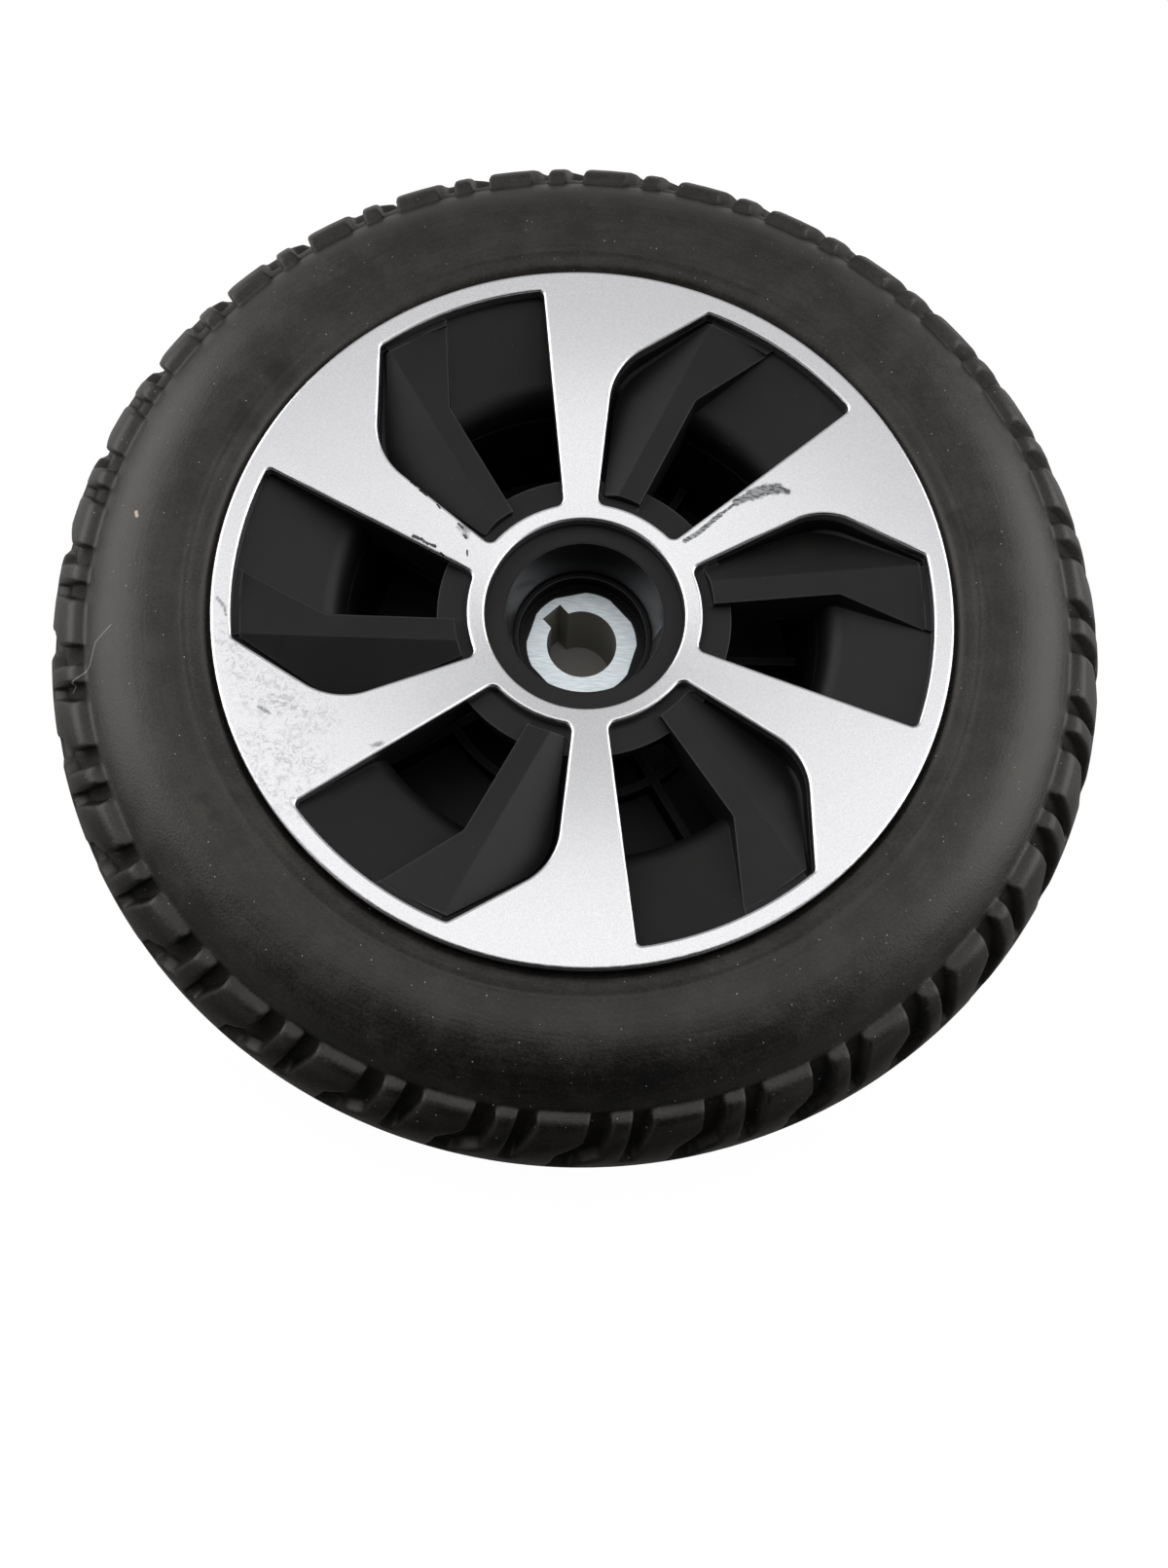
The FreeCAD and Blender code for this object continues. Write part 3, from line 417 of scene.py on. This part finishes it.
    # sheen: rougher and brighter where the mottle is high, matt in stains, and low in the grooves as painted
    # shade that darkens them
    sheenFrom, sheenTo = look["sheenRange"]
    rough = addNode(tree, "ShaderNodeMapRange", {"Value": mottle, "From Min": sheenFrom, "From Max": sheenTo,
                                                 "To Min": look["roughness"][0],
                                                 "To Max": look["roughness"][1]})
    tree.links.new(rough.outputs[0], shader.inputs["Roughness"])
    gloss = addNode(tree, "ShaderNodeMapRange", {"Value": mottle, "From Min": sheenFrom, "From Max": sheenTo,
                                                 "To Min": look["specular"][0],
                                                 "To Max": look["specular"][1]})
    matt = addNode(tree, "ShaderNodeMix", {0: stain, 2: gloss.outputs[0], 3: look["stainSpecular"]})
    groove = addNode(tree, "ShaderNodeAttribute", attribute_name="groove").outputs["Fac"]
    # painted shade: specular lowered in the grooves so that they render darker
    grooveShaded = addNode(tree, "ShaderNodeMix", {0: groove, 2: matt.outputs[0], 3: look["grooveShadeSpecular"]})
    tree.links.new(grooveShaded.outputs[0], shader.inputs["Specular IOR Level"])
    edge = addNode(tree, "ShaderNodeBevel", {"Radius": look["edge"] * mm}, samples=4)
    flowBump = addNode(tree, "ShaderNodeBump", {"Height": flow, "Strength": look["flowBump"][0],
                                                "Distance": look["flowBump"][1] * mm,
                                                "Normal": edge.outputs[0]})
    bump = addNode(tree, "ShaderNodeBump", {"Height": grain, "Strength": look["grainBump"][0],
                                            "Distance": look["grainBump"][1] * mm,
                                            "Normal": flowBump.outputs[0]})
    tree.links.new(bump.outputs[0], shader.inputs["Normal"])
    return material


# silver base coat sprayed on moulded plastic: fine flake and a soft sheen, dulled in swirls at one side, with
# a hatched scuff, rubbed spots and edges chipped to black
def silverPaint():
    look = {
        "paint": "#c2c2c4", "dull": "#858587", "worn": "#4b4d4e", "bare": "#161617",
        "flake": 0.4,                                 # drawn far coarser than real flake so that it shows
        "flakeRange": (0.3, 0.7), "flakeTone": (0.93, 1.07),
        "ragged": 0.55,                               # raggedness of the wear, in mm
        "hatch": 0.32, "hatchTurn": 0.5, "hatchStretch": 0.16,
        "hatchRange": (0.4, 0.56), "hatchLeast": 0.6,
        "smudge": 2.0, "smudgeRange": (0.48, 0.62), "smudgeMost": 0.62,
        "rubbedMost": 0.68,
        "pitDots": (3.0, 0.8, 0.16, 0.8),             # cell, rarity, largest radius, strength
        "roughness": (0.24, 0.42),
        "scuffEdge": (0.4, 0.7), "rubbedEdge": (0.9, 2.1),            # softness and break-up
        "handledEdge": (1.0, 0.6), "chipEdge": (0.4, 1.6),
        "scuff": ((22.2, 20.7, 25.0, 22.6, 0.75), (25.0, 22.6, 30.0, 27.6, 0.75),
                  (30.0, 27.6, 33.5, 30.7, 0.45), (33.5, 30.9, 36.9, 32.9, 1.2),
                  (36.9, 32.9, 40.4, 34.4, 1.8), (40.4, 34.4, 42.9, 34.7, 1.7),
                  (42.9, 34.7, 45.4, 34.1, 0.9)),
        "rubbed": ((-31.9, 17.2, -30.4, 16.6, 1.3), (-31.0, 15.8, -30.2, 15.2, 0.9),
                   (-82.8, -10.9, -81.0, -12.7, 0.6), (-81.0, -12.7, -80.4, -14.6, 0.4),
                   (-69.6, -34.9, -67.2, -35.9, 0.6), (-43.9, -39.9, -42.2, -39.2, 0.8)),
        "handled": ((-79.0, -20.0, -75.0, -27.0, 5.0), (-70.0, -31.0, -58.0, -35.0, 8.0),
                    (-69.0, -44.0, -58.0, -46.0, 8.5), (-66.0, -53.0, -57.0, -54.0, 7.0)),
        "chips": ((-42.4, 12.7, -40.6, 12.3, 0.55), (-39.9, 11.9, -38.9, 11.5, 0.45),
                  (-38.4, 11.5, -37.2, 11.2, 0.5), (-35.8, 9.9, -34.9, 9.3, 0.3),
                  (-44.8, 26.0, -43.5, 25.2, 0.3), (-42.4, 24.5, -40.7, 23.4, 0.45),
                  (-38.0, 21.6, -37.3, 20.8, 0.3), (-32.6, 17.8, -31.4, 17.0, 0.3),
                  (-30.9, 15.2, -30.3, 14.7, 0.35), (-29.7, 11.6, -29.5, 10.4, 0.25)),
    }
    material, tree, shader, coords = newMaterial("silver paint on moulded plastic")
    plan = addNode(tree, "ShaderNodeVectorMath", {0: coords, 1: (1, 1, 0)}, operation="MULTIPLY").outputs[0]
    flake = addNode(tree, "ShaderNodeTexNoise", {"Vector": coords, "Scale": 1 / (look["flake"] * mm),
                                                 "Detail": 2.0})
    tone = addNode(tree, "ShaderNodeMapRange", {"Value": flake.outputs["Fac"],
                                                "From Min": look["flakeRange"][0],
                                                "From Max": look["flakeRange"][1],
                                                "To Min": look["flakeTone"][0],
                                                "To Max": look["flakeTone"][1]})
    paint = addNode(tree, "ShaderNodeVectorMath", {0: hexColor(look["paint"])[:3], "Scale": tone.outputs[0]},
                    operation="SCALE")
    ragged = addNode(tree, "ShaderNodeTexNoise", {"Vector": coords, "Scale": 1 / (look["ragged"] * mm),
                                                  "Detail": 4.0}).outputs["Fac"]
    # hatching: noise that is long one way and short across, turned along the scuff
    hatchWay = addNode(tree, "ShaderNodeMapping", {"Vector": coords, "Rotation": (0, 0, look["hatchTurn"]),
                                                   "Scale": (look["hatchStretch"], 1, 1)})
    hatch = addNode(tree, "ShaderNodeTexNoise", {"Vector": hatchWay.outputs[0],
                                                 "Scale": 1 / (look["hatch"] * mm), "Detail": 2.0})
    lines = addNode(tree, "ShaderNodeMapRange", {"Value": hatch.outputs["Fac"],
                                                 "From Min": look["hatchRange"][0],
                                                 "From Max": look["hatchRange"][1],
                                                 "To Min": look["hatchLeast"]})
    scuff = strokeShare(tree, plan, ragged, look["scuff"], *look["scuffEdge"])
    scuffed = addNode(tree, "ShaderNodeMath", {0: scuff, 1: lines.outputs[0]}, operation="MULTIPLY")
    rub = strokeShare(tree, plan, ragged, look["rubbed"], *look["rubbedEdge"])
    rubbed = addNode(tree, "ShaderNodeMath", {0: rub, 1: look["rubbedMost"]}, operation="MULTIPLY")
    worn = addNode(tree, "ShaderNodeMath", {0: scuffed.outputs[0], 1: rubbed.outputs[0]}, operation="MAXIMUM")
    # swirls: noise that is bent by itself, in the handled area only
    smudges = addNode(tree, "ShaderNodeTexNoise", {"Vector": coords, "Scale": 1 / (look["smudge"] * mm),
                                                   "Detail": 6.0, "Roughness": 0.7, "Distortion": 1.6})
    swirls = addNode(tree, "ShaderNodeMapRange", {"Value": smudges.outputs["Fac"],
                                                  "From Min": look["smudgeRange"][0],
                                                  "From Max": look["smudgeRange"][1],
                                                  "To Max": look["smudgeMost"]})
    handled = strokeShare(tree, plan, ragged, look["handled"], *look["handledEdge"])
    dulled = addNode(tree, "ShaderNodeMath", {0: handled, 1: swirls.outputs[0]},
                     operation="MULTIPLY").outputs[0]
    chips = strokeShare(tree, plan, ragged, look["chips"], *look["chipEdge"])
    pits = dustShare(tree, coords, *look["pitDots"])
    bareShare = addNode(tree, "ShaderNodeMath", {0: chips, 1: pits}, operation="MAXIMUM").outputs[0]
    dullTone = addNode(tree, "ShaderNodeMix", {0: dulled, 6: paint.outputs[0], 7: hexColor(look["dull"])},
                       data_type="RGBA")
    wornTone = addNode(tree, "ShaderNodeMix", {0: worn.outputs[0], 6: dullTone.outputs[2],
                                               7: hexColor(look["worn"])}, data_type="RGBA")
    color = addNode(tree, "ShaderNodeMix", {0: bareShare, 6: wornTone.outputs[2], 7: hexColor(look["bare"])},
                    data_type="RGBA")
    tree.links.new(color.outputs[2], shader.inputs["Base Color"])
    metal = addNode(tree, "ShaderNodeMath", {0: 1.0, 1: bareShare}, operation="SUBTRACT")
    tree.links.new(metal.outputs[0], shader.inputs["Metallic"])
    rough = addNode(tree, "ShaderNodeMapRange", {"Value": dulled, "To Min": look["roughness"][0],
                                                 "To Max": look["roughness"][1]})
    tree.links.new(rough.outputs[0], shader.inputs["Roughness"])
    return material


# glass-filled nylon from a spark-eroded tool: black with a fine even grain, polished in the hub cup, convex
# edges a little paler as a painted highlight, dust specks
def rimPlastic():
    look = {
        "black": "#0b0b0c", "bloom": "#131211", "paintedEdgeHighlight": "#434346", "dust": "#77757a",
        "cloud": 14.0, "bloomRange": (0.4, 0.7),
        "grain": 0.3, "grainBump": (0.25, 0.05),      # drawn coarser than the tool's grain so that it shows
        "edge": 0.5, "edgeRange": (0.85, 0.45),       # painted edge highlight: reach in mm, open shares at none and full
        "edgeRound": 0.45,                            # round that the shading gives to edges
        "dustDots": (2.1, 0.72, 0.16, 0.5),           # cell, rarity, largest radius, strength
        "cupRadius": (19.4, 19.6),                    # polished within, grained beyond
        "roughness": (0.2, 0.48), "specular": (0.09, 0.215),          # in the cup and beyond
    }
    material, tree, shader, coords = newMaterial("grained black nylon")
    plan = addNode(tree, "ShaderNodeVectorMath", {0: coords, 1: (1, 1, 0)}, operation="MULTIPLY").outputs[0]
    cloud = addNode(tree, "ShaderNodeTexNoise", {"Vector": coords, "Scale": 1 / (look["cloud"] * mm),
                                                 "Detail": 6.0, "Roughness": 0.6})
    bloom = addNode(tree, "ShaderNodeMapRange", {"Value": cloud.outputs["Fac"],
                                                 "From Min": look["bloomRange"][0],
                                                 "From Max": look["bloomRange"][1]})
    base = addNode(tree, "ShaderNodeMix", {0: bloom.outputs[0], 6: hexColor(look["black"]),
                                           7: hexColor(look["bloom"])}, data_type="RGBA")
    # painted highlight on convex edges, which are where rays into the solid soon come out again
    inside = addNode(tree, "ShaderNodeAmbientOcclusion", {"Distance": look["edge"] * mm}, samples=4,
                     inside=True, only_local=True)
    onEdge = addNode(tree, "ShaderNodeMapRange", {"Value": inside.outputs["AO"],
                                                  "From Min": look["edgeRange"][0],
                                                  "From Max": look["edgeRange"][1]})
    edgeHighlighted = addNode(tree, "ShaderNodeMix", {0: onEdge.outputs[0], 6: base.outputs[2],
                                                7: hexColor(look["paintedEdgeHighlight"])}, data_type="RGBA")
    dust = dustShare(tree, coords, *look["dustDots"])
    color = addNode(tree, "ShaderNodeMix", {0: dust, 6: edgeHighlighted.outputs[2], 7: hexColor(look["dust"])},
                    data_type="RGBA")
    tree.links.new(color.outputs[2], shader.inputs["Base Color"])
    radius = addNode(tree, "ShaderNodeVectorMath", {0: plan}, operation="LENGTH")
    for key, socket in (("roughness", "Roughness"), ("specular", "Specular IOR Level")):
        polish = addNode(tree, "ShaderNodeMapRange", {"Value": radius.outputs["Value"],
                                                      "From Min": look["cupRadius"][0] * mm,
                                                      "From Max": look["cupRadius"][1] * mm,
                                                      "To Min": look[key][0], "To Max": look[key][1]})
        tree.links.new(polish.outputs[0], shader.inputs[socket])
    grain = addNode(tree, "ShaderNodeTexNoise", {"Vector": coords, "Scale": 1 / (look["grain"] * mm),
                                                 "Detail": 2.0})
    edge = addNode(tree, "ShaderNodeBevel", {"Radius": look["edgeRound"] * mm}, samples=4)
    bump = addNode(tree, "ShaderNodeBump", {"Height": grain.outputs["Fac"], "Strength": look["grainBump"][0],
                                            "Distance": look["grainBump"][1] * mm, "Normal": edge.outputs[0]})
    tree.links.new(bump.outputs[0], shader.inputs["Normal"])
    return material


# zinc-plated steel, faced in straight fine passes: cool grey with thin slanting lines, and a bore so dull
# with old grease that it does not shine as metal
def bushSteel():
    look = {
        "zinc": "#c8cfd3", "grease": "#96958e", "roughness": 0.42,
        "line": 0.3, "stretch": 0.08, "slant": 0.3,   # passes drawn wider than real ones so that they show
        "lineRange": (0.3, 0.7), "lineTone": (0.72, 1.1),
        "faceHeight": 26.9,                           # the face lies above this, the bore below
    }
    material, tree, shader, coords = newMaterial("faced zinc-plated steel", {"Roughness": look["roughness"]})
    stretched = addNode(tree, "ShaderNodeMapping", {"Vector": coords, "Rotation": (0, 0, look["slant"]),
                                                    "Scale": (look["stretch"], 1, 1)})
    lines = addNode(tree, "ShaderNodeTexNoise", {"Vector": stretched.outputs[0],
                                                 "Scale": 1 / (look["line"] * mm), "Detail": 3.0})
    tone = addNode(tree, "ShaderNodeMapRange", {"Value": lines.outputs["Fac"],
                                                "From Min": look["lineRange"][0],
                                                "From Max": look["lineRange"][1],
                                                "To Min": look["lineTone"][0],
                                                "To Max": look["lineTone"][1]})
    faced = addNode(tree, "ShaderNodeVectorMath", {0: hexColor(look["zinc"])[:3], "Scale": tone.outputs[0]},
                    operation="SCALE")
    height = addNode(tree, "ShaderNodeSeparateXYZ", {0: coords}).outputs[2]
    onFace = addNode(tree, "ShaderNodeMath", {0: height, 1: look["faceHeight"] * mm},
                     operation="GREATER_THAN").outputs[0]
    color = addNode(tree, "ShaderNodeMix", {0: onFace, 6: hexColor(look["grease"]), 7: faced.outputs[0]},
                    data_type="RGBA")
    tree.links.new(color.outputs[2], shader.inputs["Base Color"])
    tree.links.new(onFace, shader.inputs["Metallic"])
    return material


# small metal parts, with a film in clouds of some mm
metals = {
    # plated fasteners: bright with a faint cloudy film
    "barrel-plated zinc": {"metal": "#b9bcc0", "film": "#8f9298", "cloud": 1.5, "roughness": 0.3},
    # threaded inserts: warm yellow with a slightly tarnished mottle
    "turned brass": {"metal": "#d6b163", "film": "#9c7a3c", "cloud": 1.2, "roughness": 0.32},
}


def cloudyMetal(name):
    look = metals[name]
    material, tree, shader, coords = newMaterial(name, {"Metallic": 1.0, "Roughness": look["roughness"]})
    cloud = addNode(tree, "ShaderNodeTexNoise", {"Vector": coords, "Scale": 1 / (look["cloud"] * mm),
                                                 "Detail": 4.0})
    color = addNode(tree, "ShaderNodeMix", {0: cloud.outputs["Fac"], 6: hexColor(look["metal"]),
                                            7: hexColor(look["film"])}, data_type="RGBA")
    tree.links.new(color.outputs[2], shader.inputs["Base Color"])
    return material


# closed-cell foam of the flat-free ring: dull tan with fine pores, drawn coarser than real ones
def cellFoam():
    look = {"skin": "#8d8578", "pore": "#5a5348", "cell": 0.9, "roughness": 0.9}
    material, tree, shader, coords = newMaterial("closed-cell foam", {"Roughness": look["roughness"]})
    cells = addNode(tree, "ShaderNodeTexVoronoi", {"Vector": coords, "Scale": 1 / (look["cell"] * mm)})
    color = addNode(tree, "ShaderNodeMix", {0: cells.outputs["Distance"], 6: hexColor(look["pore"]),
                                            7: hexColor(look["skin"])}, data_type="RGBA")
    tree.links.new(color.outputs[2], shader.inputs["Base Color"])
    return material


nylon, zinc = rimPlastic(), cloudyMetal("barrel-plated zinc")
tyrePiece.data.materials.append(tyreRubber())
surfaces = {"face_plate": silverPaint(), "rim_front": nylon, "rim_rear": nylon, "hub_insert": bushSteel(),
            "rim_bolts": zinc, "rim_washers": zinc, "plate_screws": zinc,
            "threaded_inserts": cloudyMetal("turned brass"), "flat_free_insert": cellFoam()}
for name, material in surfaces.items():
    nodes[name].data.materials[0] = material
print("materials set")

# camera fitted to the photograph: place in mm, its right, up and back directions, focal length in pixels
view = {"place": (0.0, -98.87, 290.69), "right": (0.993974, 0.101864, 0.040502),
        "up": (-0.108415, 0.968124, 0.225791), "back": (-0.016211, -0.228822, 0.973333),
        "focal": 1110.0, "imageHeight": 1611.0, "sensor": 36.0, "nearest": 10.0}
cameraData = bpy.data.cameras.new("camera")
cameraData.sensor_width = view["sensor"]
cameraData.lens = view["focal"] * view["sensor"] / view["imageHeight"]
cameraData.clip_start = view["nearest"] * mm
camera = bpy.data.objects.new("camera", cameraData)
turn = Matrix((view["right"], view["up"], view["back"])).transposed().to_4x4()
camera.matrix_world = Matrix.Translation([v * mm for v in view["place"]]) @ turn
scene.collection.objects.link(camera)
scene.camera = camera

# white paper floor: glowing white to the camera except under the wheel, so that the bore looks dark; in
# reflections and as bounced light it is grey, and dark in front, where it lies in the camera's shade
studio = {"paper": "#f4f4f2", "dim": "#cbc9c5", "shaded": "#2e2c2a", "glow": 1.04, "halfSize": 3000.0,
          "seenWhite": 0.92, "coveredFrom": 30.0, "coveredTo": 100.0,         # distances from the axle in mm
          "shadedFrom": 50.0, "shadedTo": -250.0}                             # the same along y
half = studio["halfSize"] * mm
floorMesh = bpy.data.meshes.new("floor")
floorCorners = [(-half, -half, 0), (half, -half, 0), (half, half, 0), (-half, half, 0)]
floorMesh.from_pydata(floorCorners, [], [(0, 1, 2, 3)])
floor = bpy.data.objects.new("floor", floorMesh)
scene.collection.objects.link(floor)
floorMaterial = bpy.data.materials.new("white paper floor")
floorMaterial.use_nodes = True
tree = floorMaterial.node_tree
tree.nodes.clear()
place = addNode(tree, "ShaderNodeTexCoord").outputs["Object"]
fromAxle = addNode(tree, "ShaderNodeVectorMath", {0: place}, operation="LENGTH")
openFloor = addNode(tree, "ShaderNodeMapRange", {"Value": fromAxle.outputs["Value"],
                                                 "From Min": studio["coveredFrom"] * mm,
                                                 "From Max": studio["coveredTo"] * mm,
                                                 "To Max": studio["seenWhite"]})
path = addNode(tree, "ShaderNodeLightPath")
seen = addNode(tree, "ShaderNodeMath", {0: path.outputs["Is Camera Ray"], 1: openFloor.outputs[0]},
               operation="MULTIPLY")
toFront = addNode(tree, "ShaderNodeSeparateXYZ", {0: place})
shade = addNode(tree, "ShaderNodeMapRange", {"Value": toFront.outputs[1],
                                             "From Min": studio["shadedFrom"] * mm,
                                             "From Max": studio["shadedTo"] * mm})
unseen = addNode(tree, "ShaderNodeMix", {0: shade.outputs[0], 6: hexColor(studio["dim"]),
                                         7: hexColor(studio["shaded"])}, data_type="RGBA")
sheet = addNode(tree, "ShaderNodeMix", {0: seen.outputs[0], 6: unseen.outputs[2],
                                        7: hexColor(studio["paper"])}, data_type="RGBA")
paper = addNode(tree, "ShaderNodeBsdfDiffuse", {"Color": sheet.outputs[2]})
white = addNode(tree, "ShaderNodeEmission", {"Color": (1, 1, 1, 1), "Strength": studio["glow"]})
mixed = addNode(tree, "ShaderNodeMixShader", {0: seen.outputs[0], 1: paper.outputs[0], 2: white.outputs[0]})
addNode(tree, "ShaderNodeOutputMaterial", {"Surface": mixed.outputs[0]})
floorMesh.materials.append(floorMaterial)

# white room: in reflections it is dimmer towards the horizon and dark in front and above, behind the camera
room = {"ambient": 0.25, "horizon": 0.58, "horizonEdge": (0.48, 0.88),
        "shadeWay": (0.0, -0.7, 0.714), "shadeEdge": (0.62, 0.89), "shadeTone": 0.03}
world = bpy.data.worlds.new("studio")
scene.world = world
world.use_nodes = True
tree = world.node_tree
tree.nodes.clear()
direction = addNode(tree, "ShaderNodeTexCoord").outputs["Generated"]
upward = addNode(tree, "ShaderNodeSeparateXYZ", {0: direction})
wallTone = addNode(tree, "ShaderNodeMapRange", {"Value": upward.outputs[2],
                                                "From Min": room["horizonEdge"][0],
                                                "From Max": room["horizonEdge"][1],
                                                "To Min": room["horizon"]}, interpolation_type="SMOOTHSTEP")
facing = addNode(tree, "ShaderNodeVectorMath", {0: direction, 1: room["shadeWay"]}, operation="DOT_PRODUCT")
shade = addNode(tree, "ShaderNodeMapRange", {"Value": facing.outputs["Value"],
                                             "From Min": room["shadeEdge"][0],
                                             "From Max": room["shadeEdge"][1], "To Min": 1.0,
                                             "To Max": room["shadeTone"]}, interpolation_type="SMOOTHSTEP")
mirrorTone = addNode(tree, "ShaderNodeMath", {0: wallTone.outputs[0], 1: shade.outputs[0]},
                     operation="MULTIPLY")
path = addNode(tree, "ShaderNodeLightPath")
glossy = addNode(tree, "ShaderNodeMath", {0: path.outputs["Is Glossy Ray"],
                                          1: path.outputs["Is Transmission Ray"]}, operation="MAXIMUM")
lit = addNode(tree, "ShaderNodeMix", {0: glossy.outputs[0], 2: room["ambient"], 3: mirrorTone.outputs[0]})
strength = addNode(tree, "ShaderNodeMix", {0: path.outputs["Is Camera Ray"], 2: lit.outputs[0], 3: 1.0})
sky = addNode(tree, "ShaderNodeBackground", {"Color": (1, 1, 1, 1), "Strength": strength.outputs[0]})
addNode(tree, "ShaderNodeOutputWorld", {"Surface": sky.outputs[0]})

# soft lamps, in metres: place, what they face, size, radiance, spin in degrees
lamps = {
    "overhead softbox": ((0, 0.01, 0.355), (0, 0.01, 0), (1.2, 0.24), 0.72, -3.0),
    "left strip": ((-0.9, 0.3, 0.55), (0, 0.1, 0.05), (1.1, 0.9), 2.6, 0.0),
    "right strip": ((0.9, 0.3, 0.55), (0, 0.1, 0.05), (1.1, 0.9), 2.6, 0.0),
}
for name, (place, target, size, radiance, spin) in lamps.items():
    lampData = bpy.data.lights.new(name, "AREA")
    lampData.shape = "RECTANGLE"
    lampData.size, lampData.size_y = size
    lampData.energy = radiance * np.pi * size[0] * size[1]      # watts = radiance * pi * area
    lamp = bpy.data.objects.new(name, lampData)
    aim = (Vector(place) - Vector(target)).to_track_quat("Z", "Y").to_matrix().to_4x4()
    lamp.matrix_world = Matrix.Translation(place) @ aim @ Matrix.Rotation(np.radians(spin), 4, "Z")
    scene.collection.objects.link(lamp)
print("light and camera set")
